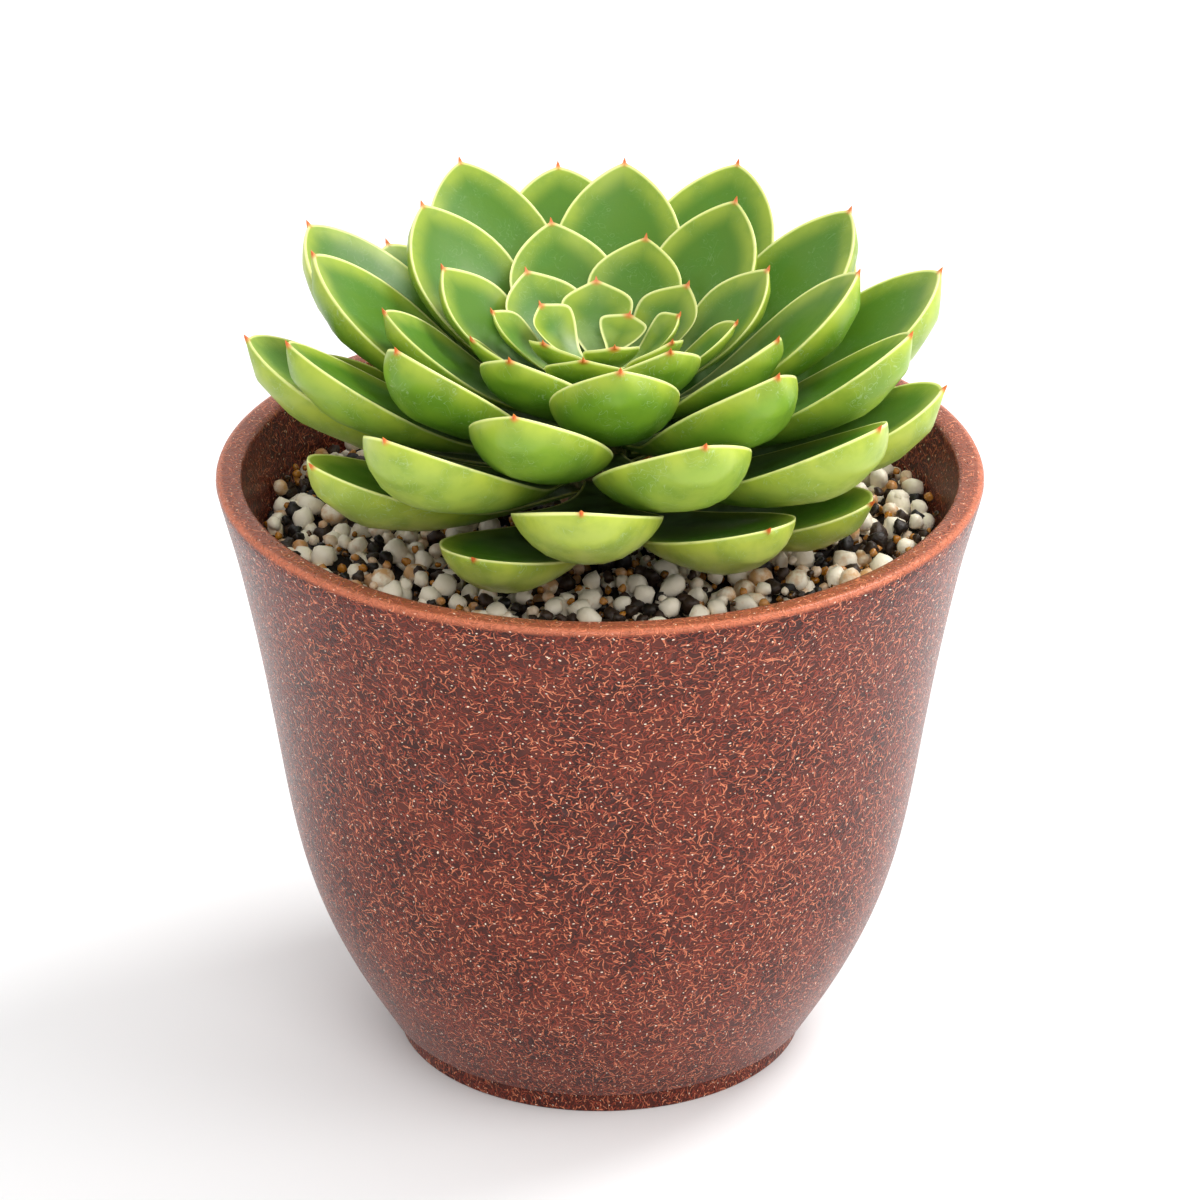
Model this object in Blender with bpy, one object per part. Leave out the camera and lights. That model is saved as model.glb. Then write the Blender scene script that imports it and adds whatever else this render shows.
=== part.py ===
"""Potted succulent: a rosette of fleshy leaves on a short stem, in a tapered round pot.

Metres, +Z up. The origin is the centre of the pot's foot, on the surface that it stands on, and
the side that faces -Y is the front. The pot is filled with potting mix and topped with gravel.
Each leaf is one solid. A leaf's level is its age: level 0 is the oldest and lowest leaf, and the
youngest ones close the rosette's heart.
"""

from collections import namedtuple
from math import cos, pi, radians, sin

import bmesh
import bpy
import numpy as np
from mathutils import noise
from mathutils.bvhtree import BVHTree

# ---- Pot -------------------------------------------------------------------------------------
POT_HEIGHT = 0.0975
RIM_RADIUS = 0.0600
WALL = 0.0038
FLOOR = 0.0060  # underside of the foot to the inner floor
FOOT_RADIUS = 0.0325
FOOT_HEIGHT = 0.0039
FOOT_STEP = 0.0018  # how far the body stands out over the foot
FOOT_RING = 0.0050  # width of the ring that the pot stands on
FOOT_RECESS = 0.0016
DRAIN_RADIUS = 0.0060
RIM_ROUND = 0.0008  # rounding of the rim's two edges
POT_SIDES = 48

# The body's outline is one curve from the foot to the rim. Each handle is given as how far it
# lies out from the foot's edge and in from the rim's edge, and up.
LOW_HANDLE_OUT = 0.0200
LOW_HANDLE_UP = 0.0320
HIGH_HANDLE_IN = 0.0135
HIGH_HANDLE_DOWN = 0.0550

# ---- Filling ---------------------------------------------------------------------------------
CLEARANCE = 0.0003  # between pieces that touch
GRAVEL_DROP = 0.0100  # rim down to the gravel
GRAVEL_THICKNESS = 0.0060
GRAVEL_ROUGHNESS = 0.0009
GRAVEL_BUMP_SIZE = 0.0080
FILLING_SIDES = 40

# ---- Stem ------------------------------------------------------------------------------------
STEM_RADIUS = 0.0055  # at the gravel, below the oldest leaf
STEM_TOP_RADIUS = 0.0020
STEM_HEIGHT = 0.0295  # above the gravel
STEM_BURIED = 0.0240
ROOT_RADIUS = 0.0030  # lower end of the stem
STEM_SIDES = 16

# ---- Leaves ----------------------------------------------------------------------------------
# Sizes at each level, and a leaf between two levels is in between. Heights are above the gravel.
Stage = namedtuple("Stage", "base_height reach tip_height width thickness")
STAGES = (
    Stage(0.0042, 0.0465, 0.0150, 0.0200, 0.0045),
    Stage(0.0082, 0.0530, 0.0260, 0.0225, 0.0054),
    Stage(0.0122, 0.0550, 0.0365, 0.0240, 0.0058),
    Stage(0.0153, 0.0495, 0.0410, 0.0228, 0.0058),
    Stage(0.0180, 0.0405, 0.0425, 0.0208, 0.0052),
    Stage(0.0205, 0.0300, 0.0432, 0.0182, 0.0046),
    Stage(0.0232, 0.0210, 0.0428, 0.0152, 0.0040),
    Stage(0.0260, 0.0130, 0.0405, 0.0115, 0.0032),
    Stage(0.0288, 0.0062, 0.0370, 0.0070, 0.0020),
)
OLDEST, YOUNGEST = 0, len(STAGES) - 1

# The leaves grow one by one round the stem, each a golden angle on from the last, with azimuth 0 to
# the right and 90 to the back.
LEAF_COUNT = 54
FIRST_AZIMUTH = 332.0
GOLDEN_ANGLE = 137.508
LAST_LEVEL = 7.7
CROWDING = 1.05  # 1 spaces the levels evenly, and more crowds the older leaves

UPTURN = 1.75  # how strongly a leaf curves up towards its tip: 1 is straight
BASE_WIDTH = 0.20  # share of the full width where a leaf leaves the stem
WIDEST_AT = 0.64  # share of the length
HOLLOW = 0.30  # depth of the hollow upper face, as a share of the thickness
LEAN = 0.0032  # the outer leaves hang lower at the front and stand higher at the back
LEAN_LEVELS = (3.0, 5.0)  # the lean fades out between these levels
MUCRO_LENGTH = 0.0013  # the little point at a leaf's tip, on the oldest leaf
MUCRO_WIDTH = 0.0009
TRIM_STEP = 0.03  # a leaf thins and narrows by such steps until it clears its neighbours
LEAST_ROOM = 0.2
WIDTH_KEPT = 0.6  # share of the width that isn't given up, where all of the thickness can be

# Stations along a leaf, as shares of its length, and points across it from margin to margin.
ALONG = np.array((0.0, 0.14, 0.30, 0.46, 0.62, 0.77, 0.885, 0.955, 0.985, 1.0))
ACROSS_TOP = np.array((-1.0, -0.55, 0.0, 0.55, 1.0))
ACROSS_UNDER = np.array((0.86, 0.46, 0.0, -0.46, -0.86))
THICKNESS_AT = ((0.0, 0.15, 0.35, 0.60, 0.78, 0.92, 1.0), (0.20, 0.26, 0.42, 0.82, 1.0, 0.70, 0.12))

GRAVEL_TOP = POT_HEIGHT - GRAVEL_DROP


# ---- Shared tools ----------------------------------------------------------------------------
def clear_scene():
    for obj in list(bpy.data.objects):
        bpy.data.objects.remove(obj, do_unlink=True)


def material(name, color, roughness):
    mat = bpy.data.materials.new(name)
    mat.use_nodes = True
    shader = mat.node_tree.nodes["Principled BSDF"]
    shader.inputs["Base Color"].default_value = (*color, 1.0)
    shader.inputs["Roughness"].default_value = roughness
    shader.inputs["Metallic"].default_value = 0.0
    return mat


def add_object(name, mesh, mat):
    mesh.materials.append(mat)
    mesh.shade_smooth()
    obj = bpy.data.objects.new(name, mesh)
    bpy.context.scene.collection.objects.link(obj)
    return obj


def turned(name, outline, sides, mat):
    """Turns an outline of (radius, height) points about Z. It is closed, or ends on the axis twice."""
    mesh = bpy.data.meshes.new(name)
    bm = bmesh.new()
    points = [bm.verts.new((radius, 0.0, height)) for radius, height in outline]
    ends_on_axis = outline[0][0] == 0.0 and outline[-1][0] == 0.0
    pairs = list(zip(points, points[1:]))
    if not ends_on_axis:
        pairs.append((points[-1], points[0]))
    edges = [bm.edges.new(pair) for pair in pairs]
    bmesh.ops.spin(
        bm, geom=points + edges, cent=(0, 0, 0), axis=(0, 0, 1), angle=2 * pi, steps=sides, use_merge=True
    )
    bmesh.ops.remove_doubles(bm, verts=bm.verts, dist=1e-6)
    bmesh.ops.recalc_face_normals(bm, faces=bm.faces)
    bm.to_mesh(mesh)
    bm.free()
    mesh.set_sharp_from_angle(angle=radians(35))
    return add_object(name, mesh, mat)


# ---- Pot -------------------------------------------------------------------------------------
def body_curve(count):
    """The body's outline, from the foot's edge to the rim's, as (radius, height) points."""
    foot = np.array((FOOT_RADIUS + FOOT_STEP, FOOT_HEIGHT))
    rim = np.array((RIM_RADIUS, POT_HEIGHT))
    low = foot + (LOW_HANDLE_OUT, LOW_HANDLE_UP)
    high = rim - (HIGH_HANDLE_IN, HIGH_HANDLE_DOWN)
    t = np.linspace(0.0, 1.0, count)[:, None]
    return (1 - t) ** 3 * foot + 3 * (1 - t) ** 2 * t * low + 3 * (1 - t) * t**2 * high + t**3 * rim


def inner_curve(offset, count=24):
    """The body's outline moved in by this much, square to itself."""
    curve = body_curve(count)
    along = np.gradient(curve, axis=0)
    along /= np.linalg.norm(along, axis=1)[:, None]
    return curve + offset * np.stack((-along[:, 1], along[:, 0]), axis=1)


def inner_radius(height, offset):
    curve = inner_curve(offset)
    return float(np.interp(height, curve[:, 1], curve[:, 0]))


def corner(center, start_degrees, steps=2):
    """Points of a quarter circle of the rim's rounding, turning clockwise."""
    angles = [radians(start_degrees - 90.0 * k / steps) for k in range(steps + 1)]
    return [(center[0] + RIM_ROUND * cos(a), center[1] + RIM_ROUND * sin(a)) for a in angles]


def pot_outline():
    outside = [tuple(p) for p in body_curve(14) if p[1] < POT_HEIGHT - 2 * RIM_ROUND]
    rim_height = POT_HEIGHT - RIM_ROUND
    inner_edge = inner_radius(rim_height, WALL)
    rim = list(reversed(corner((RIM_RADIUS - RIM_ROUND, rim_height), 90.0)))
    rim += list(reversed(corner((inner_edge + RIM_ROUND, rim_height), 180.0)))
    walls = inner_curve(WALL, 9)
    inside = [tuple(p) for p in walls[::-1] if FLOOR + 0.002 < p[1] < POT_HEIGHT - 3 * RIM_ROUND]
    floor_radius = inner_radius(FLOOR + 0.002, WALL)
    inside += [(floor_radius - 0.0008, FLOOR + 0.0006), (floor_radius - 0.0028, FLOOR)]
    hole = [(DRAIN_RADIUS, FLOOR), (DRAIN_RADIUS, FOOT_RECESS)]
    ring_inner = FOOT_RADIUS - FOOT_RING
    foot = [(ring_inner, FOOT_RECESS), (ring_inner, 0.0), (FOOT_RADIUS, 0.0), (FOOT_RADIUS, FOOT_HEIGHT)]
    return foot + outside + rim + inside + hole


def make_pot():
    return turned("pot", pot_outline(), POT_SIDES, material("pot_biocomposite", (0.27, 0.065, 0.04), 0.4))


# ---- Potting mix and gravel ------------------------------------------------------------------
def stem_radius(height):
    """The stem's radius at this height above the gravel, below it too."""
    heights = (-STEM_BURIED, 0.0, STEM_HEIGHT)
    return float(np.interp(height, heights, (ROOT_RADIUS, STEM_RADIUS, STEM_TOP_RADIUS)))


def filling_wall(low, high, steps):
    """Points up the inside of the pot, a clearance away from its wall."""
    heights = np.linspace(low, high, steps)
    return [(inner_radius(h, WALL + CLEARANCE), float(h)) for h in heights]


def make_potting_mix():
    bottom = FLOOR + CLEARANCE
    top = GRAVEL_TOP - GRAVEL_THICKNESS - CLEARANCE
    end = GRAVEL_TOP - STEM_BURIED - CLEARANCE
    socket = [(stem_radius(h) + CLEARANCE, GRAVEL_TOP + h) for h in (top - GRAVEL_TOP, -STEM_BURIED)]
    socket.append((stem_radius(-STEM_BURIED) + CLEARANCE, end))
    outline = [(0.0, bottom), (inner_radius(bottom + 0.002, WALL + CLEARANCE) - 0.0035, bottom)]
    outline += filling_wall(bottom + 0.002, top, 8)
    outline += socket
    outline.append((0.0, end))
    soil = material("potting_mix", (0.035, 0.022, 0.014), 0.95)
    return turned("potting_mix", outline, FILLING_SIDES, soil)


def make_gravel():
    bottom = GRAVEL_TOP - GRAVEL_THICKNESS
    wall = filling_wall(bottom, GRAVEL_TOP, 3)
    hole = stem_radius(0.0) + CLEARANCE
    surface = [(float(r), GRAVEL_TOP) for r in np.linspace(wall[-1][0], hole, 9)[1:]]
    outline = [(stem_radius(-GRAVEL_THICKNESS) + CLEARANCE, bottom)] + wall + surface
    obj = turned("gravel", outline, FILLING_SIDES, material("gravel", (0.55, 0.47, 0.36), 0.8))
    for vertex in obj.data.vertices:
        if vertex.co.z > GRAVEL_TOP - 1e-5:
            vertex.co.z += GRAVEL_ROUGHNESS * noise.noise(vertex.co / GRAVEL_BUMP_SIZE)
    return obj


# ---- Stem ------------------------------------------------------------------------------------
def make_stem():
    heights = (-STEM_BURIED, 0.0, STEM_HEIGHT - STEM_TOP_RADIUS)
    side = [(stem_radius(h), GRAVEL_TOP + h) for h in heights]
    dome = (STEM_TOP_RADIUS * 0.7, GRAVEL_TOP + STEM_HEIGHT - STEM_TOP_RADIUS * 0.3)
    outline = [(0.0, side[0][1])] + side + [dome, (0.0, GRAVEL_TOP + STEM_HEIGHT)]
    return turned("stem", outline, STEM_SIDES, material("stem", (0.30, 0.27, 0.12), 0.7))


# ---- Leaves ----------------------------------------------------------------------------------
class Leaf:
    """The shape of one leaf at a level and an azimuth. Room is its share of the full thickness."""

    def __init__(self, level, azimuth, room=1.0):
        levels = range(len(STAGES))
        sizes = Stage(*(float(np.interp(level, levels, column)) for column in zip(*STAGES)))
        turn = radians(azimuth)
        lean = LEAN * sin(turn) * float(np.interp(level, LEAN_LEVELS, (1.0, 0.0)))
        self.turn = turn
        self.age = (YOUNGEST - level) / (YOUNGEST - OLDEST)
        self.base_radius = stem_radius(sizes.base_height) + CLEARANCE * 1.2
        self.base_height = GRAVEL_TOP + sizes.base_height
        self.rise = sizes.tip_height + lean - sizes.base_height
        self.reach = sizes.reach
        self.width = sizes.width * (WIDTH_KEPT + (1.0 - WIDTH_KEPT) * room)
        self.thickness = sizes.thickness * room
        self.mucro = 0.4 + 0.6 * self.age

    def height(self, radius):
        """The bowl that the leaf's margins lie on."""
        out = np.maximum(radius - self.base_radius, 0.0) / (self.reach - self.base_radius)
        return self.base_height + self.rise * out**UPTURN

    def slope(self, radius):
        span = self.reach - self.base_radius
        out = np.maximum(radius - self.base_radius, 0.0) / span
        return self.rise * UPTURN * np.maximum(out, 1e-6) ** (UPTURN - 1) / span

    def radius_at(self, share):
        """How far out a point at this share of the leaf's length is."""
        radii = np.linspace(self.base_radius, self.reach, 40)
        steps = np.hypot(np.diff(radii), np.diff(self.height(radii)))
        lengths = np.concatenate(((0.0,), np.cumsum(steps)))
        return np.interp(share * lengths[-1], lengths, radii)

    def half_width(self, share):
        """Spoon shaped: narrow at the stem, with an old leaf's end blunt and a young one's pointed."""
        sharpness = 0.56 + 0.34 * min(1.0, (1.0 - self.age) * 1.15)
        fullness = 2.4 - 0.7 * min(1.0, (1.0 - self.age) * 1.15)
        lower = np.sin(np.clip(share / WIDEST_AT, 0.0, 1.0) * pi / 2) ** 2
        past = np.clip((share - WIDEST_AT) / (1.0 - WIDEST_AT), 0.0, 1.0)
        upper = np.maximum(1.0 - past**fullness, 0.0) ** sharpness
        outline = np.where(share < WIDEST_AT, BASE_WIDTH + (1.0 - BASE_WIDTH) * lower, upper)
        return self.width / 2 * outline

    def points(self, grow=0.0):
        """Rings of points along the leaf, then the middle of its base and the end of its tip."""
        radius = self.radius_at(ALONG)[:, None]
        half = np.maximum(self.half_width(ALONG), self.mucro * MUCRO_WIDTH / 2)[:, None] + grow
        thick = self.thickness * np.interp(ALONG, *THICKNESS_AT)
        thick = np.maximum(thick, self.mucro * MUCRO_WIDTH)[:, None]
        across = np.concatenate((ACROSS_TOP, ACROSS_UNDER))[None, :]
        under = np.repeat((0.0, 1.0), (len(ACROSS_TOP), len(ACROSS_UNDER)))[None, :]
        side = across * half
        slope = self.slope(radius)
        hollow = HOLLOW * thick * (1 - across**2) * np.minimum(np.hypot(1.0, slope), 2.6)
        top = self.height(np.hypot(radius, side)) - hollow
        depth = (thick * (1 - np.abs(across) ** 2.4) ** 0.75 + grow) * under - grow * (1 - under)
        normal = np.stack((-slope * radius + 0 * side, -slope * side, np.hypot(radius, side)), axis=-1)
        normal /= np.linalg.norm(normal, axis=-1)[..., None]
        surface = np.stack((radius + 0 * side, side, top), axis=-1) - normal * depth[..., None]
        rings = surface.reshape(-1, 3)
        base = rings[: across.size].mean(axis=0)
        ahead = np.array((1.0, 0.0, float(self.slope(self.reach))))
        ahead *= self.mucro * MUCRO_LENGTH / np.linalg.norm(ahead)
        tip = np.array((self.reach, 0.0, float(self.height(self.reach)))) + ahead
        local = np.vstack((rings, base, tip))
        c, s = cos(self.turn), sin(self.turn)
        return local @ np.array(((c, s, 0.0), (-s, c, 0.0), (0.0, 0.0, 1.0)))


def leaf_faces():
    """Faces of the grid of rings, with a fan over the base and one to the tip."""
    around = len(ACROSS_TOP) + len(ACROSS_UNDER)
    base = len(ALONG) * around
    tip = base + 1
    last = base - around
    faces = []
    for ring in range(len(ALONG) - 1):
        for k in range(around):
            a = ring * around + k
            b = ring * around + (k + 1) % around
            faces.append((a, a + around, b + around, b))
    for k in range(around):
        following = (k + 1) % around
        faces.append((base, k, following))
        faces.append((tip, last + following, last + k))
    return faces


def clears(points, faces, placed):
    tree = BVHTree.FromPolygons(points.tolist(), faces)
    return not any(tree.overlap(other) for other in placed)


def fitted_leaf(level, azimuth, faces, placed):
    """As full as its stage, or as the leaves already there leave room for."""
    for room in np.arange(1.0, LEAST_ROOM, -TRIM_STEP):
        leaf = Leaf(level, azimuth, float(room))
        if clears(leaf.points(CLEARANCE), faces, placed):
            break
    return leaf


def leaf_places():
    """(level, azimuth) of every leaf, oldest first."""
    for k in range(LEAF_COUNT):
        level = LAST_LEVEL * (k / (LEAF_COUNT - 1)) ** CROWDING
        yield level, FIRST_AZIMUTH + k * GOLDEN_ANGLE


def make_leaves():
    mat = material("leaf", (0.20, 0.42, 0.05), 0.42)
    faces = leaf_faces()
    placed = []
    for number, (level, azimuth) in enumerate(leaf_places(), start=1):
        points = fitted_leaf(level, azimuth, faces, placed).points()
        placed.append(BVHTree.FromPolygons(points.tolist(), faces))
        mesh = bpy.data.meshes.new(f"leaf_{number:02d}")
        mesh.from_pydata(points.tolist(), [], faces)
        add_object(mesh.name, mesh, mat)


def main():
    clear_scene()
    make_pot()
    make_potting_mix()
    make_gravel()
    make_stem()
    make_leaves()


main()
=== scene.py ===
"""Potted succulent: the finished look of the rosette, its stem, the gravel and the pot."""
from math import atan2, cos, hypot, pi, radians, sin

import bpy
import numpy as np
from bpy.props import FloatProperty, FloatVectorProperty, IntProperty, PointerProperty
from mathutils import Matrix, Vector, noise
from mathutils.kdtree import KDTree


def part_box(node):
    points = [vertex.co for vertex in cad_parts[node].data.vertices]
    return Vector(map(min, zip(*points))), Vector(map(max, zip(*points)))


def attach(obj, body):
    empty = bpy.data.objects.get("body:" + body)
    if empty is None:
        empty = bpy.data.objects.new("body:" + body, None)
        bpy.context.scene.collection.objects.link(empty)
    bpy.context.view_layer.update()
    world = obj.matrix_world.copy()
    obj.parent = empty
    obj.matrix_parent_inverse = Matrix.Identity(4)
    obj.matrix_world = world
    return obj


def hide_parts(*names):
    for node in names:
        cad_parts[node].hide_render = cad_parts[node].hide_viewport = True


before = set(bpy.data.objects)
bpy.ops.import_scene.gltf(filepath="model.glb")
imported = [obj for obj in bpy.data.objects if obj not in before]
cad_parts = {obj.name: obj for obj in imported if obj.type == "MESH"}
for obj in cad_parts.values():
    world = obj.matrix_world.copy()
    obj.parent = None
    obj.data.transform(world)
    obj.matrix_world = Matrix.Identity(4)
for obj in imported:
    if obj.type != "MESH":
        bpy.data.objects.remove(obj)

bl_info = {
    "name": "Potted Succulent",
    "version": (1, 0, 0),
    "blender": (4, 5, 0),
    "location": "View3D > Sidebar > Succulent",
    "description": "Models a rosette succulent in a gravel-topped pot around its frame",
    "category": "Object",
}

MM = 0.001
MERGE = 1e-6  # points closer than this are one point
CORNER = radians(50)  # an outline that turns by more than this has a corner
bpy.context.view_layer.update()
POT_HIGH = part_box("pot")[1]
GRAVEL_LOW, GRAVEL_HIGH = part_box("gravel")
LEAF_NODES = sorted(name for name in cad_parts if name.startswith("leaf_"))


# ---- Settings --------------------------------------------------------------------------------
def size(name, description, default):
    return FloatProperty(name=name, description=description, default=default, unit="LENGTH", precision=5)


def share(name, description, default):
    return FloatProperty(name=name, description=description, default=default, subtype="FACTOR", min=0.0)


def linear(code):
    """An sRGB hex colour as linear red, green and blue."""
    channels = [int(code[k : k + 2], 16) / 255 for k in (1, 3, 5)]
    return tuple(c / 12.92 if c <= 0.04045 else ((c + 0.055) / 1.055) ** 2.4 for c in channels)


def color(name, description, code):
    return FloatVectorProperty(
        name=name, description=description, default=linear(code), subtype="COLOR", min=0.0, max=1.0
    )


class PotSettings(bpy.types.PropertyGroup):
    sides: IntProperty(name="Sides", description="Facets round the pot", default=192, min=24)
    step: size("Outline step", "Length of a facet along the pot's outline", 1.6 * MM)
    edge_round: size("Edge rounding", "Rounding of the foot's edges", 0.35 * MM)
    fibre_width: size("Fibre width", "Thickness of one plant fibre in the moulding", 0.26 * MM)
    body: color("Body", "The resin between the fibres", "#5C261B")
    body_dark: color("Dark body", "The resin where it lies thick", "#3A1712")
    fibre: color("Fibre", "Fibres in the skin", "#A8452F")
    fibre_light: color("Light fibre", "Fibres that lie bare at the skin", "#EE9A70")
    # The next colour gives cream dots of painted highlight on the glossy skin.
    highlight_dot: color("Speck", "Mineral specks", "#F3DCC4")
    pore: color("Pore", "Small open pores", "#2A1512")
    # The next colour is painted reflection: grey patches where the white surroundings show in the glossy
    # resin.
    grey_reflection: color("Smudge", "Grey marks in the resin", "#5A4A4C")
    # The next colour is a painted highlight on the rim's top, brightest along its outer edge.
    rim_highlight: color("Rim", "The rubbed edge of the rim", "#DD7F5C")


class GravelSettings(bpy.types.PropertyGroup):
    pumice: IntProperty(name="Pumice grains", description="Pale grains tried in each layer", default=330)
    lava: IntProperty(name="Lava grains", description="Dark grains tried in each layer", default=620)
    clay: IntProperty(name="Clay grains", description="Tan grains tried in each layer", default=420)
    amber: IntProperty(name="Amber bits", description="Small glossy bits tried in each layer", default=700)
    pale: color("Pumice", "Pale porous grains", "#FFF4DF")
    pale_stain: color("Stained pumice", "Where a pale grain has taken up iron", "#D9A873")
    dark: color("Lava", "Dark cinder", "#3B281A")
    dark_deep: color("Deep lava", "Hollows in the cinder", "#120C08")
    tan: color("Clay", "Fired clay grains", "#C98A48")
    amber_tone: color("Amber bit", "Small clear golden bits", "#B9771F")
    # The next colour is the potting mix's soil, and also painted shade on the bed seen in the gaps between
    # the grains.
    soil: color("Soil", "Fine peat between the grains", "#1D130C")


class StemSettings(bpy.types.PropertyGroup):
    cork: color("Cork", "Dry ridges of the old skin", "#A99A66")
    furrow: color("Furrow", "Greener skin between the ridges", "#5B6B2E")
    young: color("Young skin", "Fresh skin at the growing top", "#86A83E")


class LeafSettings(bpy.types.PropertyGroup):
    upturn: share("Upturn", "How strongly a leaf curves up towards its tip, 1 is straight", 1.75)
    base_width: share("Base width", "Share of the full width where a leaf leaves the stem", 0.20)
    widest_at: share("Widest at", "Share of the length where a leaf is widest", 0.64)
    hollow: share("Hollow", "Depth of the upper face, as a share of the thickness", 0.06)
    # The pale line's width also sets the width of the painted highlight along the edge.
    margin_width: size("Margin width", "Width of the pale line along a leaf's edge", 0.36 * MM)
    blush: size("Blush", "How far the red runs from a leaf's tip", 1.9 * MM)
    wobble: size("Wobble", "How much a leaf's surface strays from an even shape", 0.18 * MM)
    upper: color("Upper face", "The hollow upper face", "#507A1B")
    # The next colour is painted shade: the upper face close to the stem, where the leaves crowd round it.
    upper_shade_near_stem: color("Deep upper face", "The upper face close to the stem", "#30581B")
    # The next colour is the waxy bloom together with a painted sheen; the pale scratches use it too.
    bloom_and_sheen: color("Bloom", "The waxy bloom towards a leaf's base", "#B4CB98")
    under: color("Under face", "The rounded under face", "#7BA22F")
    under_old: color("Old under face", "The under face of the oldest leaves", "#B4C358")
    # The next colour is painted shade on the under face towards the stem; it also gives the random darker
    # mottle.
    under_shade_and_mottle: color("Deep under face", "The under face towards the stem", "#447A20")
    glow: color("Rim of light", "Where the thin edge lets light through", "#B4C244")
    # The next colour is the leaf's own pale margin line together with a painted highlight where the edge
    # catches the light.
    margin: color("Margin", "The pale line along a leaf's edge", "#EFF2A0")
    tip: color("Tip", "The point at a leaf's end", "#DD4B2E")


class StageSettings(bpy.types.PropertyGroup):
    distance: size("Camera distance", "From the camera to the pot's axis", 0.9708)
    elevation: FloatProperty(
        name="Elevation", description="How far the camera looks down", default=radians(25.34), subtype="ANGLE"
    )
    aim_height: size("Aim height", "Height on the pot's axis that the camera looks at", 0.07424)
    lens: FloatProperty(name="Lens", description="Focal length in millimetres", default=184.5, subtype="NONE")
    floor: color("Floor", "The plain floor", "#F2F2F2")


# ---- Shared tools ----------------------------------------------------------------------------
class Material:
    """A new material with its shader, and short names for the nodes that feed it."""

    def __init__(self, name):
        self.result = bpy.data.materials.new(name)
        self.result.use_nodes = True
        self.tree = self.result.node_tree
        self.tree.nodes.clear()
        self.shader = self.add("ShaderNodeBsdfPrincipled")
        self.add("ShaderNodeOutputMaterial", {"Surface": self.shader.outputs[0]})

    def connect(self, node, inputs):
        """Gives each socket its value, or the socket that feeds it."""
        for key, value in dict(inputs).items():
            if isinstance(value, bpy.types.NodeSocket):
                self.tree.links.new(value, node.inputs[key])
            else:
                node.inputs[key].default_value = value

    def add(self, kind, inputs=(), **settings):
        node = self.tree.nodes.new(kind)
        for key, value in settings.items():
            setattr(node, key, value)
        self.connect(node, inputs)
        return node

    def place(self):
        """Where a point lies in the shared frame."""
        return self.add("ShaderNodeTexCoord").outputs["Object"]

    def attribute(self, name):
        return self.add("ShaderNodeAttribute", attribute_name=name).outputs["Fac"]

    def separate(self, value, kind="ShaderNodeSeparateXYZ"):
        return self.add(kind, {0: value}).outputs

    def calc(self, operation, *values):
        return self.add("ShaderNodeMath", dict(enumerate(values)), operation=operation).outputs[0]

    def vector(self, operation, *values, output="Vector"):
        node = self.add("ShaderNodeVectorMath", dict(enumerate(values)), operation=operation)
        return node.outputs[output]

    def scaled(self, vector, factor):
        return self.add("ShaderNodeVectorMath", {0: vector, "Scale": factor}, operation="SCALE").outputs[0]

    def fade(self, value, start, end, low=0.0, high=1.0, interpolation="SMOOTHSTEP"):
        """Goes from low to high as the value goes from start to end."""
        sockets = {"Value": value, "From Min": start, "From Max": end, "To Min": low, "To Max": high}
        return self.add("ShaderNodeMapRange", sockets, interpolation_type=interpolation).outputs[0]

    def mix(self, factor, first, second):
        sockets = {"Factor": factor, "A": first, "B": second}
        return self.add("ShaderNodeMix", sockets, data_type="RGBA").outputs["Result"]

    def ramp(self, value, stops):
        """The colours of the stops, each a (place, colour), as the value goes from 0 to 1."""
        node = self.add("ShaderNodeValToRGB", {"Fac": value})
        elements = node.color_ramp.elements
        for index, (position, tone) in enumerate(stops):
            element = elements[index] if index < len(elements) else elements.new(position)
            element.position = position
            element.color = rgba(tone)
        return node.outputs["Color"]

    def patches(self, place, patch, detail, distortion=0.0, output="Fac"):
        """Soft noise with patches about this size."""
        sockets = {"Vector": place, "Scale": 1 / patch, "Detail": detail, "Distortion": distortion}
        return self.add("ShaderNodeTexNoise", sockets).outputs[output]

    def relief(self, height, strength, depth):
        sockets = {"Height": height, "Strength": strength, "Distance": depth}
        return self.add("ShaderNodeBump", sockets).outputs[0]


def rgba(value):
    return (*value, 1.0)


def select_only(obj):
    bpy.ops.object.select_all(action="DESELECT")
    obj.select_set(True)
    bpy.context.view_layer.objects.active = obj


def cover(obj, mat):
    """Makes this the only material of an object."""
    obj.data.materials.clear()
    obj.data.materials.append(mat)


def finish_piece(obj, name, mat, nodes=()):
    """Names a piece, gives it its material and ties it to the frame."""
    obj.name = name
    obj.data.name = name
    cover(obj, mat)
    if nodes:
        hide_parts(*nodes)
    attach(obj, "root")


def merged_copy(node):
    """A copy of a CAD node whose loose triangles are joined up."""
    copy = bpy.data.objects.new(node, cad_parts[node].data.copy())
    bpy.context.scene.collection.objects.link(copy)
    select_only(copy)
    bpy.ops.object.mode_set(mode="EDIT")
    bpy.ops.mesh.select_all(action="SELECT")
    bpy.ops.mesh.remove_doubles(threshold=MERGE)
    bpy.ops.object.mode_set(mode="OBJECT")
    return copy


def coordinates(mesh):
    """A mesh's points as rows of x, y and z."""
    flat = np.zeros(len(mesh.vertices) * 3)
    mesh.vertices.foreach_get("co", flat)
    return flat.reshape(-1, 3)


def set_attribute(mesh, name, values):
    """Gives each point of a mesh a value that its material can read."""
    mesh.attributes.new(name, "FLOAT", "POINT").data.foreach_set("value", np.asarray(values, np.float32))


def running_length(points):
    """How far along a line each of its points lies."""
    steps = np.linalg.norm(np.diff(points, axis=0), axis=1)
    return np.concatenate(((0.0,), np.cumsum(steps)))


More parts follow.
